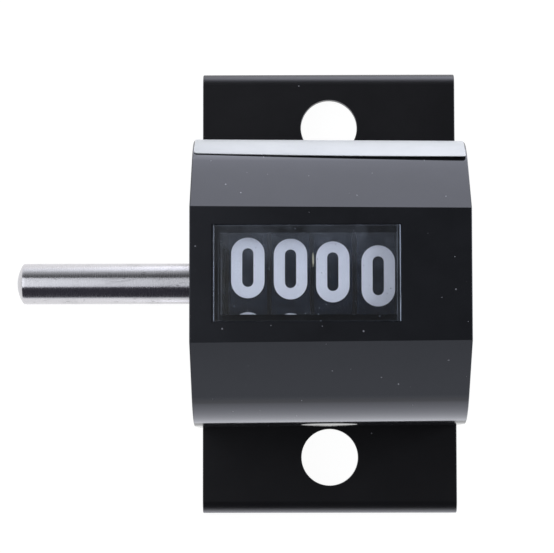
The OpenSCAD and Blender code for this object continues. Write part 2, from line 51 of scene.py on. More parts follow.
# The casing in millimetres, as in the part's source
AXIS_Z = 9.3
FRONT_Z = 19.0
MOUTH_X = -10.0
END_X = 9.79
CASING_HALF = 10.52
FACET_D = 10.12
FACET_ANGLE = math.radians(47)
SHOULDER_R = 7.5
SHOULDER_Y = CASING_HALF - SHOULDER_R
SHOULDER_Z = AXIS_Z + (FACET_D - SHOULDER_R - math.sin(FACET_ANGLE) * SHOULDER_Y) / math.cos(FACET_ANGLE)
DRAFT = math.radians(0.46)
FRONT_WALL = 1.0
SIDE_WALL = 1.2
BASE_WALL = 0.6
END_WALL = 1.2

# The end plate in the casing's mouth, and the clearances of fixed and turning pieces
PLATE_X = -9.7
PLATE_T = 1.0
PLATE_LEDGE = 0.4
SEAT_FIT = 0.03
RUN_FIT = 0.05

# The window, the pane and the pane's recess as x0, x1, y0, y1, fitted to the photo
WINDOW = (-7.85, 4.56, -2.81, 2.93)
PANE = (-8.33, 4.81, -3.32, 3.48)
PANE_RECESS = (-8.46, 4.84, -3.35, 3.51)
PANE_T = 0.5

# The bracket, with its half length fitted to the photo
BRACKET_X0 = -9.8
BRACKET_HALF = 17.09
BRACKET_DEPTH = 3.0
SHEET_T = 0.8
BEND_R = 0.2
HOLE_D = 4.35
HOLE_Y = 12.8

# The casing's four pegs, each with a melted head, a small lip under the sheet and a dimple
PEG_D = 1.8
PEG_PLACES = [(x, y) for x in (-7.0, 7.0) for y in (-7.5, 7.5)]
PEG_SIDES = 48
PEG_HEAD_D = 3.0
PEG_HEAD_T = 0.6
PEG_HEAD_R = 0.35
PEG_LIP_IN = 0.1
PEG_LIP_DROP = 0.06
PEG_DIMPLE_R = (0.5, 0.3, 0.0)
PEG_DIMPLE_DEPTH = (0.0, 0.06, 0.08)

# The shaft: its domed tip with a worn edge, its journal with a ring groove, and its tail
SHAFT_R = 1.5
TIP_X = -23.1
DOME_H = 0.47
WORN_EDGE_X = (0.0, 0.12, 0.20)
WORN_EDGE_DEPTH = (0.03, 0.008, 0.0)
JOURNAL_R = 1.8
JOURNAL_SET_IN = 0.2
JOURNAL_CHAMFER = 0.1
GROOVE_W = 0.35
GROOVE_DEPTH = 0.3
GROOVE_PLAY = 0.025
TAIL_R = 1.2
TAIL_CHAMFER = 0.1

# The bush in the end plate
BUSH_WALL = 0.7
BUSH_FLANGE_W = 0.8
BUSH_FLANGE_T = 0.2
BUSH_CHAMFER = 0.12
BUSH_FLANGE_CHAMFER = 0.04
BUSH_INNER_CHAMFER = 0.06

# The label, a film over the upper shoulder
LABEL_T = 0.06
LABEL_GLUE_T = 0.004
LABEL_X = (-9.88, 9.67)
LABEL_LOW_Z = 2.2
LABEL_CORNER_R = 0.25
# How far round the shoulder its front edge lies, at the mouth, midway and at the closed end
LABEL_FRONT = (4.82, 5.13, 5.26)
# How far that edge stands off the casing at the mouth and at the closed end
LABEL_LIFT = (0.02, 0.16)
LABEL_LIFT_CURVE = 1.3
LABEL_LIFT_REACH = 1.4

# The burr on the rim of the hundreds carrier plate, with its ends in degrees from the top
BURR_ANGLES = (4.3, 11.6)
BURR_STEPS = 12
BURR_ROOT_HALF = 0.05
BURR_ROOT_DEPTH = 0.3
BURR_H = 0.5
BURR_SWELL_H = 0.25
BURR_SWELL_T = 0.042
BURR_EDGE_T = 0.014
BURR_FULLNESS = 1.6
BURR_LEAN = 0.07
BURR_LEAN_MORE = 0.03

# Radii of the small rounded edges
END_EDGE_R = 0.07
MOULD_EDGE_R = 0.05
PANE_EDGE_R = 0.07
SHEET_EDGE_R = 0.10
PLATE_EDGE_R = 0.12

# How far a cutter reaches past the faces that it cuts
CUT = 1.0
# A radius below this is a point on the axis
ON_AXIS = 1e-6
# Points nearer than this, in metres, are one point
WELD = 1e-7
# The pale floor and its gap under the bracket's feet
FLOOR_HALF = 150.0
FLOOR_GAP = 0.02

# Where most values of a noise lie, for fine grain and for soft clouds
GRAIN_RANGE = (0.3, 0.7)
CLOUD_RANGE = (0.35, 0.65)
# Length of a scratch noise's cells across, along and into the surface, in millimetres
SCRATCH_CELL = (1 / 0.12, 1 / 2.2, 1 / 0.6)

# Colours of the lamps in front and overhead, and of the sky
DAYLIGHT = (0.865, 0.885, 1.0)
PALE_BLUE = (0.93, 0.96, 1.0)
DUSK = (0.80, 0.77, 1.0)
WHITE = (1.0, 1.0, 1.0)

# Sockets of a colour Mix node
MIX_FACTOR, MIX_A, MIX_B, MIX_RESULT = 0, 6, 7, 2


def new_object(name, data):
    obj = bpy.data.objects.new(name, data)
    bpy.context.scene.collection.objects.link(obj)
    return obj


def from_points(name, points, faces):
    """A mesh from points in millimetres."""
    mesh = bpy.data.meshes.new(name)
    mesh.from_pydata([tuple(c * MM for c in p) for p in points], [], faces)
    mesh.update()
    return new_object(name, mesh)


def outward(obj):
    """Turns all faces of a closed mesh outwards."""
    bm = bmesh.new()
    bm.from_mesh(obj.data)
    bmesh.ops.remove_doubles(bm, verts=bm.verts, dist=WELD)
    bmesh.ops.recalc_face_normals(bm, faces=bm.faces)
    bm.to_mesh(obj.data)
    bm.free()
    return obj


def settle(obj):
    """Puts the result of an object's modifiers into its mesh."""
    graph = bpy.context.evaluated_depsgraph_get()
    mesh = bpy.data.meshes.new_from_object(obj.evaluated_get(graph))
    obj.modifiers.clear()
    old = obj.data
    obj.data = mesh
    mesh.name = obj.name
    bpy.data.meshes.remove(old)
    return obj


def smooth(obj, degrees=31):
    """Smooth shading that leaves the large flat faces truly flat."""
    obj.data.shade_smooth()
    obj.data.set_sharp_from_angle(angle=math.radians(degrees))
    mod = obj.modifiers.new("normals", "WEIGHTED_NORMAL")
    mod.keep_sharp = True
    mod.weight = 100
    return settle(obj)


def bevel(obj, radius, segments=2, degrees=30):
    """Rounds the edges at which faces meet more sharply than an angle."""
    mod = obj.modifiers.new("edges", "BEVEL")
    mod.width = radius * MM
    mod.segments = segments
    mod.limit_method = "ANGLE"
    mod.angle_limit = math.radians(degrees)
    mod.use_clamp_overlap = True
    mod.harden_normals = False
    mod.miter_outer = "MITER_ARC"
    settle(obj)


def cut(obj, cutter):
    """Cuts away another object, which is then removed."""
    mod = obj.modifiers.new("cut", "BOOLEAN")
    mod.operation = "DIFFERENCE"
    mod.solver = "EXACT"
    mod.object = cutter
    settle(obj)
    bpy.data.objects.remove(cutter)


def merge(obj, others):
    """Joins separate shells into one object."""
    bm = bmesh.new()
    bm.from_mesh(obj.data)
    for other in others:
        bm.from_mesh(other.data)
    bm.to_mesh(obj.data)
    bm.free()
    for other in others:
        bpy.data.objects.remove(other)
    return obj


def rings(name, loops):
    """A closed solid through loops of the same number of points."""
    count = len(loops[0])
    points = [p for loop in loops for p in loop]
    faces = []
    for i in range(len(loops) - 1):
        a, b = i * count, (i + 1) * count
        for k in range(count):
            n = (k + 1) % count
            faces.append((a + k, a + n, b + n, b + k))
    faces.append(tuple(range(count)))
    faces.append(tuple(range(len(points) - count, len(points))))
    return outward(from_points(name, points, faces))


def block(name, sides, low_z, high_z):
    """A box whose sides are x0, x1, y0, y1."""
    x0, x1, y0, y1 = sides
    return rings(name, [[(x, y0, low_z), (x, y1, low_z), (x, y1, high_z), (x, y0, high_z)]
                        for x in (x0, x1)])


def tube(name, profile, axis="X", centre=(0, 0), count=96):
    """A turned solid from a profile of (place along the axis, radius)."""
    points, faces, loops = [], [], []
    for along, r in profile:
        if r < ON_AXIS:
            loops.append([len(points)])
            points.append((along, centre[0], centre[1]))
        else:
            loops.append(list(range(len(points), len(points) + count)))
            for k in range(count):
                a = 2 * math.pi * k / count
                points.append((along, centre[0] + r * math.cos(a), centre[1] + r * math.sin(a)))
    closed = profile[0][1] > ON_AXIS
    pairs = list(zip(loops, loops[1:])) + ([(loops[-1], loops[0])] if closed else [])
    for a, b in pairs:
        for k in range(count):
            n = (k + 1) % count
            if len(a) == 1:
                faces.append((a[0], b[n], b[k]))
            elif len(b) == 1:
                faces.append((a[k], a[n], b[0]))
            else:
                faces.append((a[k], a[n], b[n], b[k]))
    if axis == "Z":
        points = [(y, z, along) for along, y, z in points]
    return outward(from_points(name, points, faces))


def drill(obj, axis, centre, r, low, high, count=96):
    """Bores a round hole from one place along an axis to another."""
    cut(obj, tube("drill", [(low, 0), (low, r), (high, r), (high, 0)], axis, centre, count))


def arc(centre, r, a0, a1, steps=6):
    """Points of an arc in the plane, angles in degrees."""
    out = []
    for k in range(steps + 1):
        a = math.radians(a0 + (a1 - a0) * k / steps)
        out.append((centre[0] + r * math.cos(a), centre[1] + r * math.sin(a)))
    return out


def section(front_in, side_in, base_in, x, steps=28):
    """The casing's outline across the shaft at x, inset from the outside."""
    r = SHOULDER_R - side_in
    top_z = FRONT_Z - front_in
    corner_y = (FACET_D - side_in - math.cos(FACET_ANGLE) * (top_z - AXIS_Z)) / math.sin(FACET_ANGLE)
    half = [(CASING_HALF - side_in, base_in)]
    for k in range(steps + 1):
        a = (math.pi / 2 - FACET_ANGLE) * k / steps
        half.append((SHOULDER_Y + r * math.cos(a), SHOULDER_Z + r * math.sin(a)))
    half.append((corner_y, top_z))
    shift = (x - MOUTH_X) * math.tan(DRAFT)
    half = [(y / math.cos(DRAFT) - shift, z) for y, z in half]
    return [(x, y, z) for y, z in half] + [(x, -y, z) for y, z in reversed(half)]


def drafted(name, front_in, side_in, base_in, x0, x1):
    """A solid with the casing's outline, inset, between two places along X."""
    return rings(name, [section(front_in, side_in, base_in, x) for x in (x0, x1)])


def round_ends(x0, x1, r, steps=5):
    """Places along X, with the inset of each, for an end edge of radius r."""
    low = []
    for k in range(steps + 1):
        a = math.pi / 2 * k / steps
        low.append((x0 + r * (1 - math.sin(a)), r * (1 - math.cos(a))))
    low.reverse()
    high = [(x0 + x1 - x, inset) for x, inset in reversed(low)]
    return low + high


def make_pegs():
    """Four pegs that pass through the bracket, each melted to a round head under it."""
    under = -SHEET_T - SEAT_FIT
    low = under - PEG_HEAD_T
    head_r = PEG_HEAD_D / 2
    profile = [(BASE_WALL / 2, 0), (BASE_WALL / 2, PEG_D / 2), (under, PEG_D / 2)]
    profile += [(under, head_r - PEG_LIP_IN), (under - PEG_LIP_DROP, head_r)]
    profile += arc((low + PEG_HEAD_R, head_r - PEG_HEAD_R), PEG_HEAD_R, 90, 180)
    profile += [(low + depth, r) for depth, r in zip(PEG_DIMPLE_DEPTH, PEG_DIMPLE_R)]
    return [tube("peg", profile, "Z", place, PEG_SIDES) for place in PEG_PLACES]


def make_casing():
    """The moulding: hollow behind its mouth, with the window, the pane's recess and the pegs."""
    stations = round_ends(MOUTH_X, END_X, END_EDGE_R)
    body = rings("casing_shell", [section(inset, inset, 0, x) for x, inset in stations])
    ledge_x = PLATE_X + PLATE_T
    cut(body, drafted("room", FRONT_WALL, SIDE_WALL, BASE_WALL, ledge_x - CUT / 2, END_X - END_WALL))
    cut(body, drafted("mouth", FRONT_WALL - PLATE_LEDGE, SIDE_WALL - PLATE_LEDGE,
                      BASE_WALL - PLATE_LEDGE / 2, MOUTH_X - CUT, ledge_x))
    cut(body, block("opening", WINDOW, FRONT_Z - FRONT_WALL - CUT, FRONT_Z + CUT))
    cut(body, block("recess", PANE_RECESS, FRONT_Z - PANE_T, FRONT_Z + CUT))
    bevel(body, MOULD_EDGE_R)
    return smooth(merge(body, make_pegs()))


def make_bracket():
    """One sheet with both ends bent back, bored for the screws and for the pegs."""
    out_r = BEND_R + SHEET_T
    bend = (BRACKET_HALF - out_r, -out_r)
    side = [(bend[0], 0)] + arc(bend, out_r, 90, 0, 14)[1:]
    side += [(BRACKET_HALF, -BRACKET_DEPTH), (BRACKET_HALF - SHEET_T, -BRACKET_DEPTH)]
    side += arc(bend, BEND_R, 0, 90, 8)
    loop = side + [(-y, z) for y, z in reversed(side)]
    body = rings("bracket_sheet", [[(x, y, z) for y, z in loop] for x in (BRACKET_X0, END_X)])
    for y in (-HOLE_Y, HOLE_Y):
        drill(body, "Z", (0, y), HOLE_D / 2, -SHEET_T - CUT, CUT)
    for place in PEG_PLACES:
        drill(body, "Z", place, PEG_D / 2 + SEAT_FIT, -SHEET_T - CUT, CUT, PEG_SIDES)
    bevel(body, SHEET_EDGE_R, 3)
    return smooth(body)


def make_plate():
    """The plate that closes the casing's mouth, with a rounded outer edge and the bush's bore."""
    inset = PLATE_LEDGE - SEAT_FIT
    base_inset = BASE_WALL - PLATE_LEDGE / 2 + SEAT_FIT
    edge, midway = PLATE_EDGE_R, PLATE_EDGE_R * 0.3
    places = [(PLATE_X, edge), (PLATE_X + midway, midway), (PLATE_X + edge, 0), (PLATE_X + PLATE_T, 0)]
    body = rings("mouth_plate", [section(FRONT_WALL - inset + i, SIDE_WALL - inset + i, base_inset + i, x)
                                 for x, i in places])
    bore_r = JOURNAL_R + RUN_FIT + BUSH_WALL + SEAT_FIT
    drill(body, "X", (0, AXIS_Z), bore_r, PLATE_X - CUT, PLATE_X + PLATE_T + CUT)
    bevel(body, MOULD_EDGE_R)
    return smooth(body)


def make_bush():
    """The bearing in the end plate, with a flange inside the casing."""
    in_r = JOURNAL_R + RUN_FIT
    out_r = in_r + BUSH_WALL
    flange_r = out_r + BUSH_FLANGE_W
    x0, x1 = PLATE_X, PLATE_X + PLATE_T
    x2 = x1 + BUSH_FLANGE_T
    c, f, b = BUSH_CHAMFER, BUSH_FLANGE_CHAMFER, BUSH_INNER_CHAMFER
    profile = [(x0, in_r + c), (x0, out_r - c), (x0 + c, out_r), (x1, out_r), (x1, flange_r - f),
               (x1 + f, flange_r), (x2 - f, flange_r), (x2, flange_r - f), (x2, in_r + b),
               (x2 - b, in_r), (x0 + c, in_r)]
    return smooth(tube("mouth_bush", profile, "X", (0, AXIS_Z)))


def make_shaft():
    """The turned shaft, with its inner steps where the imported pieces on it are."""
    dome_r = (SHAFT_R ** 2 + DOME_H ** 2) / 2 / DOME_H
    edge = math.degrees(math.asin(SHAFT_R / dome_r))
    profile = [(TIP_X, 0)] + arc((TIP_X + dome_r, 0), dome_r, 180, 180 - edge, 14)[1:-1]
    profile += [(TIP_X + DOME_H + x, SHAFT_R - depth) for x, depth in zip(WORN_EDGE_X, WORN_EDGE_DEPTH)]
    journal_x = MOUTH_X + JOURNAL_SET_IN
    groove_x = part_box("retaining_ring")[0].x / MM - GROOVE_PLAY
    low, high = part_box("spring_washer")
    journal_end = (low.x + high.x) / 2 / MM
    tail_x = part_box("drive_disc")[1].x / MM
    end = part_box("drive_shaft")[1].x / MM
    profile += [(journal_x, SHAFT_R), (journal_x, JOURNAL_R - JOURNAL_CHAMFER),
                (journal_x + JOURNAL_CHAMFER, JOURNAL_R), (groove_x, JOURNAL_R),
                (groove_x, JOURNAL_R - GROOVE_DEPTH), (groove_x + GROOVE_W, JOURNAL_R - GROOVE_DEPTH),
                (groove_x + GROOVE_W, JOURNAL_R), (journal_end, JOURNAL_R), (journal_end, SHAFT_R),
                (tail_x, SHAFT_R), (tail_x, TAIL_R), (end - TAIL_CHAMFER, TAIL_R),
                (end, TAIL_R - TAIL_CHAMFER), (end, 0)]
    return smooth(tube("turned_shaft", profile, "X", (0, AXIS_Z), 128), 20)


def make_pane():
    """The clear pane, flush with the casing's front."""
    body = block("clear_window", PANE, FRONT_Z - PANE_T, FRONT_Z)
    bevel(body, PANE_EDGE_R)
    return smooth(body)


def make_label():
    """A thin film wrapped round the upper shoulder, with rounded corners."""
    rows, cols = 44, 48
    first, middle, last = LABEL_FRONT
    x0, x1 = LABEL_X
    low_s = LABEL_LOW_Z - SHOULDER_Z
    r = LABEL_CORNER_R

    def surface(s):
        """The casing's skin and its direction, at a distance round it from the shoulder's foot."""
        if s < 0:
            return (CASING_HALF, SHOULDER_Z + s), (1, 0)
        a = s / SHOULDER_R
        return ((SHOULDER_Y + SHOULDER_R * math.cos(a), SHOULDER_Z + SHOULDER_R * math.sin(a)),
                (math.cos(a), math.sin(a)))

    def corner(level, row, col):
        u = col / cols
        front_s = first + (4 * middle - 3 * first - last) * u + 2 * (first + last - 2 * middle) * u * u
        s = low_s + (front_s - low_s) * (0.5 - 0.5 * math.cos(math.pi * row / rows))
        near = min(s - low_s, front_s - s)
        back = r - math.sqrt(max(0.0, r * r - (r - near) ** 2)) if near < r else 0.0
        x = x0 + back + (x1 - x0 - 2 * back) * u
        lift = LABEL_LIFT[0] + (LABEL_LIFT[1] - LABEL_LIFT[0]) * u ** LABEL_LIFT_CURVE
        off = level + lift * max(0.0, 1 - (front_s - s) / LABEL_LIFT_REACH) ** 2
        (y, z), (ny, nz) = surface(s)
        return x, y + ny * off - (x - MOUTH_X) * math.tan(DRAFT), z + nz * off

    def at(side, i, k):
        return (side * (rows + 1) + i) * (cols + 1) + k

    points = [corner(level, i, k) for level in (LABEL_GLUE_T, LABEL_T)
              for i in range(rows + 1) for k in range(cols + 1)]
    faces = []
    for i in range(rows):
        for k in range(cols):
            faces.append((at(1, i, k), at(1, i, k + 1), at(1, i + 1, k + 1), at(1, i + 1, k)))
            faces.append((at(0, i, k), at(0, i + 1, k), at(0, i + 1, k + 1), at(0, i, k + 1)))
    faces += [(at(0, i, k), at(0, i + 1, k), at(1, i + 1, k), at(1, i, k))
              for i in range(rows) for k in (0, cols)]
    faces += [(at(0, i, k), at(0, i, k + 1), at(1, i, k + 1), at(1, i, k))
              for k in range(cols) for i in (0, rows)]
    return smooth(outward(from_points("bare_label", points, faces)), 50)


def make_burred_carrier():
    """The hundreds carrier plate, with the small burr on its rim that shows between two wheels."""
    carrier = new_object("hundreds_brass", frame["nodes"]["hundreds_carrier"].data.copy())
    low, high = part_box("hundreds_carrier")
    rim = high.z / MM - AXIS_Z
    middle = (low.x + high.x) / 2 / MM
    loops = []
    for k in range(BURR_STEPS + 1):
        t = k / BURR_STEPS
        turn = math.radians(BURR_ANGLES[1] + (BURR_ANGLES[0] - BURR_ANGLES[1]) * t)
        swell = min(1.0, math.sin(math.pi * t) * BURR_FULLNESS)
        lean = middle + BURR_LEAN + BURR_LEAN_MORE * t
        thick = BURR_EDGE_T + BURR_SWELL_T * swell
        root, top = rim - BURR_ROOT_DEPTH, rim + BURR_H + BURR_SWELL_H * swell
        corners = ((middle - BURR_ROOT_HALF, root), (middle + BURR_ROOT_HALF, root),
                   (lean + thick, top), (lean - thick, top))
        loops.append([(x, math.sin(turn) * r, AXIS_Z + math.cos(turn) * r) for x, r in corners])
    return smooth(merge(carrier, [rings("burr", loops)]), 40)


class Nodes:
    """Builds shader nodes in one tree; an input is a socket, a number or a colour."""

    def __init__(self, tree):
        self.tree = tree

    def put(self, socket, value):
        if isinstance(value, bpy.types.NodeSocket):
            self.tree.links.new(value, socket)
        elif socket.type == "RGBA":
            socket.default_value = (*value, 1.0)
        else:
            socket.default_value = value

    def add(self, kind, inputs=None, **settings):
        node = self.tree.nodes.new(kind)
        for key, value in settings.items():
            setattr(node, key, value)
        for key, value in (inputs or {}).items():
            self.put(node.inputs[key], value)
        return node

    def math(self, operation, a, b=0.0):
        return self.add("ShaderNodeMath", {0: a, 1: b}, operation=operation).outputs[0]

    def plus(self, a, b):
        return self.math("ADD", a, b)

    def minus(self, a, b):
        return self.math("SUBTRACT", a, b)

    def times(self, a, b):
        return self.math("MULTIPLY", a, b)

    def most(self, a, b):
        return self.math("MAXIMUM", a, b)

    def apart(self, a, b):
        """How far one value lies from another."""
        return self.math("ABSOLUTE", self.minus(a, b))

    def span(self, value, low, high, out_low=0.0, out_high=1.0, curve="LINEAR"):
        """Maps a range of a value to another range, held at its ends."""
        inputs = {"Value": value, "From Min": low, "From Max": high, "To Min": out_low, "To Max": out_high}
        return self.add("ShaderNodeMapRange", inputs, clamp=True, interpolation_type=curve).outputs[0]

    def mix(self, factor, a, b):
        inputs = {MIX_FACTOR: factor, MIX_A: a, MIX_B: b}
        return self.add("ShaderNodeMix", inputs, data_type="RGBA").outputs[MIX_RESULT]


class Look(Nodes):
    """Builds one material round its main shader, with patterns that lie on the object."""

    def __init__(self, name):
        self.mat = bpy.data.materials.new(name)
        self.mat.use_nodes = True
        super().__init__(self.mat.node_tree)
        self.shader = self.tree.nodes["Principled BSDF"]
        self.out = self.tree.nodes["Material Output"]
        self.place = self.add("ShaderNodeTexCoord").outputs["Object"]

    def set(self, **inputs):
        for key, value in inputs.items():
            self.put(self.shader.inputs[key.replace("_", " ")], value)

    def scaled(self, x, y, z):
        """Places in millimetres, stretched by a factor each way."""
        inputs = {"Vector": self.place, "Scale": (x / MM, y / MM, z / MM)}
        return self.add("ShaderNodeMapping", inputs).outputs[0]

    def celled(self, start, turn, size):
        """Places from a start, turned about Z, in cells of a size in millimetres each way."""
        inputs = {"Vector": self.place, "Location": tuple(c * MM for c in start),
                  "Rotation": (0.0, 0.0, turn), "Scale": tuple(c * MM for c in size)}
        return self.add("ShaderNodeMapping", inputs, vector_type="TEXTURE").outputs[0]

    def noise(self, scale, detail=3.0, rough=0.5, vector=None):
        vector = self.scaled(1, 1, 1) if vector is None else vector
        inputs = {"Vector": vector, "Scale": scale, "Detail": detail, "Roughness": rough}
        return self.add("ShaderNodeTexNoise", inputs).outputs["Fac"]

    def grainy(self, noise, low, high):
        """A number that a fine noise moves between two values."""
        return self.span(noise, *GRAIN_RANGE, low, high)

    def cloudy(self, noise, a, b):
        """A colour that a soft noise moves between two colours."""
        return self.mix(self.span(noise, *CLOUD_RANGE), a, b)

    def bump(self, height, strength, distance):
        inputs = {"Height": height, "Strength": strength, "Distance": distance * MM}
        return self.add("ShaderNodeBump", inputs).outputs[0]

    def specks(self, cell, size, share, seed=0.0, long=1.0, turn=0.0):
        """Small specks, one in a share of the cells of a grid; long draws them out to strokes."""
        vector = self.celled((seed, seed, seed), turn, (cell * long, cell, cell))
        grid = self.add("ShaderNodeTexVoronoi", {"Vector": vector, "Scale": 1.0}, feature="F1")
        near = self.span(grid.outputs["Distance"], size * 0.6, size, 1.0, 0.0)
        pick = self.add("ShaderNodeSeparateColor", {"Color": grid.outputs["Color"]}).outputs[0]
        return self.times(near, self.math("LESS_THAN", pick, share))

    def scratches(self, scale, turn, width, seed=0.0):
        """Fine lines: stretched noise, kept where it passes through its middle value."""
        vector = self.celled((seed, seed, 0.0), turn, SCRATCH_CELL)
        field = self.add("ShaderNodeTexNoise", {"Vector": vector, "Scale": scale, "Detail": 1.0})
        return self.span(self.apart(field.outputs["Fac"], 0.5), 0.0, width, 1.0, 0.0)


def shade(colour, factors):
    """A colour with each of its three parts made darker by its own factor."""
    return tuple(c * f for c, f in zip(colour, factors))


def casing_look():
    """Glossy black plastic, slightly cloudy, with a little dust and fine scratches."""
    look = Look("casing_plastic")
    dust = look.most(look.specks(cell=1.3, size=0.06, share=0.7),
                     look.specks(cell=0.9, size=0.045, share=0.5, seed=3.7))
    cloud = look.noise(0.35, 4.0, 0.6)
    fresh = look.cloudy(cloud, (0.0055, 0.0057, 0.0068), (0.0085, 0.0088, 0.0105))
    look.set(Base_Color=look.mix(look.times(dust, 0.55), fresh, (0.5, 0.5, 0.55)))
    marks = look.scratches(2.0, turn=0.5, width=0.008)
    gloss = look.plus(look.grainy(cloud, 0.08, 0.11), look.times(marks, 0.10))
    look.set(Roughness=look.plus(gloss, look.times(dust, 0.4)))
    look.set(Normal=look.bump(look.noise(0.5, 2.0, 0.4), strength=0.05, distance=0.02))
    look.set(IOR=1.56, Specular_Tint=(0.80, 0.83, 0.96))
    return look.mat


def bracket_look():
    """Semi-gloss black paint, which mirrors less when it is seen squarely."""
    look = Look("bracket_paint")
    dust = look.specks(cell=1.9, size=0.035, share=0.45, seed=1.3)
    fresh = look.cloudy(look.noise(0.25, 4.0, 0.6), (0.0068, 0.0066, 0.0075), (0.0090, 0.0087, 0.0098))
    look.set(Base_Color=look.mix(look.times(dust, 0.5), fresh, (0.45, 0.45, 0.5)))
    grain = look.noise(9.0, 3.0, 0.6)
    facing = look.add("ShaderNodeLayerWeight", {"Blend": 0.5}).outputs["Facing"]
    look.set(Roughness=look.grainy(grain, 0.40, 0.43))
    look.set(Specular_IOR_Level=look.span(facing, 0.02, 0.25, 0.18, 1.0))
    look.set(Normal=look.bump(grain, strength=0.05, distance=0.004))
    look.set(IOR=1.5, Specular_Tint=(0.93, 0.93, 1.0))
    return look.mat


def steel_look(name, base, rough, lines):
    """Turned steel: fine rings round the axis, which spread its highlights along it."""
    look = Look(name)
    turned = look.noise(1.0, 3.0, 0.7, look.scaled(lines, 0.4, 0.4))
    stain = look.noise(0.5, 4.0, 0.65)
    tone = look.mix(look.span(stain, 0.52, 0.78), base, shade(base, (0.80, 0.80, 0.80)))
    marks = look.times(look.scratches(1.2, turn=0.15, width=0.012, seed=2.0), 0.35)
    flecks = look.most(look.specks(cell=0.6, size=0.12, share=0.8, seed=1.7, long=4.0, turn=0.2),
                       look.specks(cell=0.5, size=0.13, share=0.7, seed=5.2, long=3.0, turn=-0.25))
    marks = look.most(marks, look.times(flecks, 0.6))
    look.set(Base_Color=look.mix(marks, tone, shade(base, (0.45, 0.45, 0.45))), Metallic=1.0)
    look.set(Roughness=look.grainy(turned, rough * 0.9, rough * 1.1))
    look.set(Normal=look.bump(turned, strength=0.04, distance=0.004))
    tangent = look.add("ShaderNodeTangent", direction_type="RADIAL", axis="X").outputs[0]
    look.set(Anisotropic=0.8, Anisotropic_Rotation=0.25, Tangent=tangent)
    return look.mat


def brass_look(name, base, rough):
    """Brass or bronze with a fine grain and duller patches."""
    look = Look(name)
    grain = look.noise(1.0, 4.0, 0.6, look.scaled(3, 3, 3))
    tarnish = look.noise(0.4, 4.0, 0.6)
    dull = shade(base, (0.72, 0.66, 0.55))
    look.set(Base_Color=look.mix(look.span(tarnish, 0.45, 0.7), base, dull), Metallic=1.0)
    look.set(Roughness=look.grainy(grain, rough * 0.8, rough * 1.3))
    look.set(Normal=look.bump(grain, strength=0.1, distance=0.004))
    return look.mat


def carrier_look(name, base):
    """Brass painted near black as painted shade for the dark gaps between the wheels; only the burr on the
    hundreds plate shows bare brass.
    """
    look = Look(name)
    x, y, z = look.add("ShaderNodeSeparateXYZ", {"Vector": look.place}).outputs
    low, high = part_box("hundreds_carrier")
    rise = look.minus(z, AXIS_Z * MM)
    turn = look.math("ARCTAN2", y, rise)
    first, last = (math.radians(a) for a in BURR_ANGLES)
    fade = math.radians(0.4)
    bare = look.times(look.span(turn, first, first + fade), look.span(turn, last - fade, last, 1.0, 0.0))
    off = look.apart(x, (low.x + high.x) / 2)
    bare = look.times(bare, look.span(off, 0.25 * MM, 0.4 * MM, 1.0, 0.0))
    reach = look.math("SQRT", look.plus(look.times(y, y), look.times(rise, rise)))
    rim = high.z - AXIS_Z * MM
    bare = look.times(bare, look.span(reach, rim + 0.1 * MM, rim + 0.2 * MM))
    # Painted shade: a near-black, faintly blue colour over the brass, for the shade in the gaps between
    # the wheels, varied by a cloudy noise
    stain = look.span(look.noise(1.2, 4.0, 0.6), 0.4, 0.65)
    black = look.mix(stain, (0.010, 0.014, 0.026), (0.018, 0.024, 0.040))
    look.set(Base_Color=look.mix(bare, black, base), Metallic=look.times(bare, 0.35))
    look.set(Roughness=look.span(bare, 0.0, 1.0, 0.5, 0.25), Specular_IOR_Level=0.1)
    look.set(Normal=look.bump(look.noise(4.0, 4.0, 0.6), strength=0.1, distance=0.004))
    return look.mat


def plastic_look(name, low, high, rough, dust_share=0.0, shine=0.3):
    """Matte moulded plastic or ink, cloudy between two tones, with dust if a share is given."""
    look = Look(name)
    tone = look.cloudy(look.noise(0.9, 4.0, 0.6), low, high)
    if dust_share:
        dust = look.specks(cell=0.8, size=0.06, share=dust_share, seed=5.1)
        tone = look.mix(look.times(dust, 0.45), tone, (0.4, 0.42, 0.5))
    grain = look.noise(12.0, 3.0, 0.6)
    look.set(Base_Color=tone, Roughness=look.grainy(grain, rough - 0.05, rough + 0.05))
    look.set(Normal=look.bump(grain, strength=0.15, distance=0.004))
    look.set(IOR=1.5, Specular_IOR_Level=shine)
    return look.mat


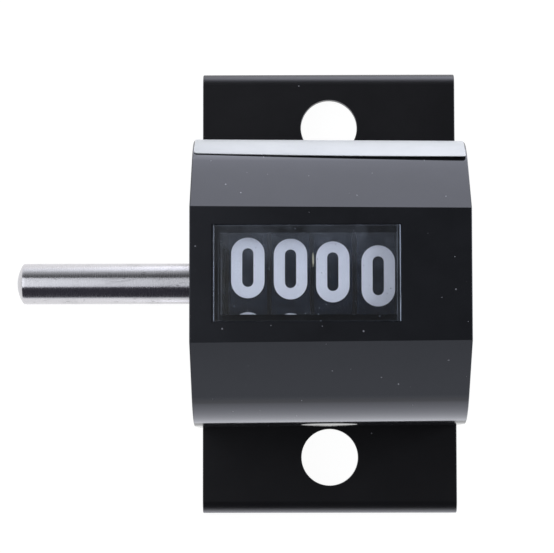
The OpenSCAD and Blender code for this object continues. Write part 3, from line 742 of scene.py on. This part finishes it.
def pane_look():
    """Clear plastic with dust, haze and fine scratches, with painted highlights along its edges and the
    window's edges, and painted shade that thins its haze towards the bottom; lamps reach through it.
    """
    look = Look("clear_pane")
    tint = (0.93, 0.95, 0.98)
    look.set(Base_Color=tint, Transmission_Weight=1.0, IOR=1.49, Roughness=0.0, Specular_IOR_Level=0.4)
    shadow = look.add("ShaderNodeLightPath").outputs["Is Shadow Ray"]
    clear = look.add("ShaderNodeBsdfTransparent", {"Color": tint}).outputs[0]
    glass = look.add("ShaderNodeMixShader", {0: shadow, 1: look.shader.outputs[0], 2: clear}).outputs[0]
    x, y, z = look.add("ShaderNodeSeparateXYZ", {"Vector": look.place}).outputs

    dust = look.most(look.specks(cell=0.7, size=0.08, share=0.8, seed=2.2),
                     look.specks(cell=0.9, size=0.05, share=0.9, seed=6.4))
    marks = look.most(look.scratches(3.0, turn=0.9, width=0.006, seed=4.0),
                      look.scratches(2.5, turn=-0.6, width=0.005, seed=9.0))
    marks = look.times(marks, look.span(look.noise(0.35, 2.0, 0.5), 0.45, 0.7))
    drift = look.add("ShaderNodeTexNoise", {"Vector": look.scaled(1, 1, 1), "Scale": 0.6}).outputs["Color"]
    bent = look.add("ShaderNodeMixRGB", {"Fac": 1.0, "Color1": look.scaled(1, 1, 1), "Color2": drift},
                    blend_type="ADD").outputs[0]
    swirl = look.span(look.noise(1.1, 5.0, 0.65, bent), 0.50, 0.70, 0.0, 0.022)
    # A cloudy haze veil, thinned out towards the bottom of the window as painted shade there
    veil_and_painted_shade = look.plus(look.span(look.noise(0.6, 5.0, 0.65), 0.43, 0.60, 0.0, 0.060), 0.018)
    veil_and_painted_shade = look.times(veil_and_painted_shade, look.span(y, 0.2 * MM, 2.6 * MM))
    # The haze holds the scratches, the swirl and the veil with its painted shade
    haze = look.plus(look.plus(look.plus(look.times(marks, 0.05), swirl), veil_and_painted_shade), 0.002)
    amount = look.most(look.times(haze, 0.68), look.times(dust, 0.3))

    def painted_highlight_line(across, place, width, strength):
        """A painted highlight: a fine bright line painted across the pane, fading along its length."""
        near = look.span(look.apart(across, place * MM), width * 0.4 * MM, width * MM, strength, 0.0)
        return look.times(near, look.span(look.noise(0.45, 3.0, 0.6), 0.3, 0.65, 0.35, 1.0))

    # Painted highlights: bright lines painted on the pane along its four edges and over the window's
    # edges, where those edges catch the light
    left, right, bottom, top = PANE
    lines = ((x, left + 0.03, 0.06, 0.32), (x, right - 0.03, 0.09, 0.45),
             (y, bottom + 0.02, 0.05, 0.08), (y, top - 0.02, 0.05, 0.04),
             (x, WINDOW[0] - 0.10, 0.06, 0.07), (x, WINDOW[0] + 0.10, 0.06, 0.05),
             (x, WINDOW[1], 0.07, 0.11))
    for across, place, width, strength in lines:
        amount = look.most(amount, painted_highlight_line(across, place, width, strength))
    # The diffuse film shows the dust, the haze and the painted highlights
    film = look.add("ShaderNodeBsdfDiffuse", {"Color": (0.70, 0.79, 0.98)}).outputs[0]
    surface = look.add("ShaderNodeMixShader", {0: amount, 1: glass, 2: film}).outputs[0]
    look.put(look.out.inputs["Surface"], surface)
    return look.mat


def label_look():
    """Bare white film with a satin face."""
    look = Look("label_white")
    cloud = look.noise(0.3, 3.0, 0.6)
    look.set(Base_Color=look.cloudy(cloud, (0.53, 0.548, 0.57), (0.57, 0.588, 0.61)))
    look.set(Roughness=look.grainy(look.noise(6.0, 2.0, 0.5), 0.30, 0.38), IOR=1.45)
    look.set(Normal=look.bump(look.noise(2.0, 3.0, 0.6), strength=0.1, distance=0.01))
    return look.mat


def paint(obj, mat):
    obj.data.materials.clear()
    obj.data.materials.append(mat)


def area_light(name, place, aim, size, radiance, spread=180, colour=PALE_BLUE):
    """A softbox of a given brightness; its size, place and aim are in millimetres."""
    data = bpy.data.lights.new(name, "AREA")
    data.shape = "RECTANGLE"
    data.size, data.size_y = size[0] * MM, size[1] * MM
    data.energy = radiance * math.pi * data.size * data.size_y
    data.color = colour
    data.spread = math.radians(spread)
    obj = new_object(name, data)
    obj.location = Vector(place) * MM
    direction = (Vector(aim) - Vector(place)).normalized()
    obj.rotation_euler = direction.to_track_quat("-Z", "Y").to_euler()
    obj.visible_camera = False


def make_floor():
    """A pale floor that stays white in the picture but keeps a soft shadow."""
    half = FLOOR_HALF
    level = -BRACKET_DEPTH - FLOOR_GAP
    corners = [(-half, -half, level), (half, -half, level), (half, half, level), (-half, half, level)]
    floor = from_points("floor", corners, [(0, 1, 2, 3)])
    look = Look("floor_white")
    look.set(Base_Color=(0.16, 0.16, 0.16), Roughness=1.0, Specular_IOR_Level=0.0)
    look.set(Emission_Color=WHITE, Emission_Strength=0.96)
    paint(floor, look.mat)


def make_world():
    """White round the horizon and below it, darker overhead, as in a small photo tent."""
    world = bpy.data.worlds.new("studio")
    bpy.context.scene.world = world
    world.use_nodes = True
    sky = Nodes(world.node_tree)
    back = sky.tree.nodes["Background"]
    way = sky.add("ShaderNodeTexCoord").outputs["Generated"]
    across, along, up = sky.add("ShaderNodeSeparateXYZ", {0: way}).outputs
    ray = sky.add("ShaderNodeLightPath").outputs

    def fade(value, low, high, out_low, out_high):
        return sky.span(value, low, high, out_low, out_high, "SMOOTHSTEP")

    # The glow ends just above the horizon in front, and reaches far up behind
    front_side = fade(up, -0.080, 0.11, 1.0, 0.05)
    back_side = fade(up, 0.0, 0.80, 1.0, 0.08)
    backness = fade(along, 0.0, 0.4, 0.0, 1.0)
    glow = sky.plus(sky.times(front_side, sky.minus(1.0, backness)), sky.times(back_side, backness))

    # A faint light straight overhead, brighter to the left, which the flat front and the pane mirror
    left_patch = sky.times(fade(across, -0.07, 0.02, 0.24, 0.0), fade(up, 0.9, 0.98, 0.0, 1.0))
    overhead = fade(up, 0.86, 0.97, 0.0, 0.15)
    glow = sky.plus(sky.plus(glow, left_patch), overhead)

    # The background is plain white to the camera, and from below to mirrors and clear plastic
    below = fade(up, -0.20, -0.10, 1.0, 0.0)
    bounced = sky.most(ray["Is Glossy Ray"], ray["Is Transmission Ray"])
    seen = sky.most(ray["Is Camera Ray"], sky.times(bounced, below))
    sky.put(back.inputs["Strength"], sky.most(glow, seen))

    # The sky in front is slightly violet above the horizon
    frontness = fade(along, -0.5, -0.1, 1.0, 0.0)
    tint = sky.mix(sky.times(frontness, fade(up, 0.0, 0.12, 0.0, 1.0)), PALE_BLUE, DUSK)
    sky.put(back.inputs["Color"], sky.mix(seen, tint, WHITE))


def make_camera():
    """The camera that the photo was taken with, as fitted to its edges and points."""
    focal_px = 2464.9012
    picture_w_px = 554.0
    sensor_w = 36.0
    place = Vector((-2.1386, -12.4860, 190.7004)) * MM
    turn_x, turn_y, turn_z = 0.0716, 0.0100, -0.0022
    data = bpy.data.cameras.new("camera")
    data.sensor_fit = "HORIZONTAL"
    data.sensor_width = sensor_w
    data.lens = focal_px * sensor_w / picture_w_px
    data.clip_start = 0.01
    data.clip_end = 10.0
    cam = new_object("camera", data)
    cam.matrix_world = (Matrix.Translation(place) @ Matrix.Rotation(turn_x, 4, "X")
                        @ Matrix.Rotation(turn_y, 4, "Y") @ Matrix.Rotation(turn_z, 4, "Z"))
    bpy.context.scene.camera = cam


def make_lights():
    """Softboxes behind and in front, which the slanting faces mirror, and one high on each side."""
    area_light("back_box", (13, 62, 10.7), (13, 0, 10.7), (54, 27.5), 1.24, colour=DAYLIGHT)
    area_light("back_strip", (13, 61.9, 1.1), (13, 0, 1.1), (54, 8.2), 0.41, colour=DAYLIGHT)
    area_light("back_strip_low", (13, 61.8, 0.8), (13, 0, 0.8), (54, 7.6), 0.36, colour=DAYLIGHT)
    area_light("back_panel", (14.2, 45, -2.8), (14.2, 45, 50), (52, 34), 2.15, colour=DAYLIGHT)
    area_light("front_panel", (14.5, -50, -2.8), (14.5, -50, 50), (57, 64), 0.86, 160, DAYLIGHT)
    area_light("left_box", (-90, 20, 170), (0, 20, 10), (172, 130), 1.48)
    area_light("right_box", (186, 30, 86), (0, 30, 10), (124, 136), 4.7)


SHELL = casing_look()
BRONZE = brass_look("bush_bronze", (0.50, 0.33, 0.15), 0.36)
STEEL = steel_look("shaft_steel", (0.628, 0.617, 0.645), 0.26, 25)
# The carriers' brass, painted near black as shade
CARRIER_PAINTED_SHADE = carrier_look("carrier_brass", (0.98, 0.90, 0.64))

# Pieces that take the place of plainer nodes
pieces = [
    (make_casing(), "casing", "casing_plastic", SHELL),
    (make_plate(), "end_plate", "casing_plastic", SHELL),
    (make_bracket(), "bracket", "bracket_paint", bracket_look()),
    (make_bush(), "shaft_bush", "bush_bronze", BRONZE),
    (make_pane(), "window_pane", "clear_pane", pane_look()),
    (make_label(), "label", "label_white", label_look()),
    (make_shaft(), "drive_shaft", "shaft_steel", STEEL),
    (make_burred_carrier(), "hundreds_carrier", "carrier_brass", CARRIER_PAINTED_SHADE),
]
owner = {node: body for body, nodes in frame["record"]["behaviour"]["bodies"].items() for node in nodes}
for obj, node, slot, mat in pieces:
    paint(obj, mat)
    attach(obj, owner[node])
    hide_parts(node)

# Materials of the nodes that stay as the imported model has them
SPRING = steel_look("spring_steel", (0.55, 0.56, 0.58), 0.32, 20)
BRASS = brass_look("brass", (0.78, 0.58, 0.24), 0.28)
WHEEL = plastic_look("wheel_plastic", (0.0035, 0.006, 0.014), (0.006, 0.010, 0.020), 0.42,
                     dust_share=0.04, shine=0.03)
INK = plastic_look("figure_ink", (0.82, 0.825, 0.90), (0.86, 0.865, 0.94), 0.5)
NATURAL = plastic_look("pinion_plastic", (0.66, 0.64, 0.56), (0.72, 0.70, 0.62), 0.45)
looks = {"tail_bush": BRONZE, "retaining_ring": SPRING, "thrust_washer": SPRING, "spring_washer": SPRING,
         "drive_disc": BRASS, "drive_pin": STEEL, "anchor_rod": STEEL}
for order in ("units", "tens", "hundreds", "thousands"):
    looks[order + "_wheel"] = WHEEL
    looks[order + "_figures"] = INK
    looks[order + "_pinion"] = NATURAL
    looks[order + "_carrier"] = CARRIER_PAINTED_SHADE
for node, mat in looks.items():
    obj = frame["nodes"][node]
    for index in range(len(obj.data.materials)):
        obj.data.materials[index] = mat

make_floor()
make_world()
make_camera()
make_lights()
bpy.context.scene.view_settings.view_transform = "Standard"
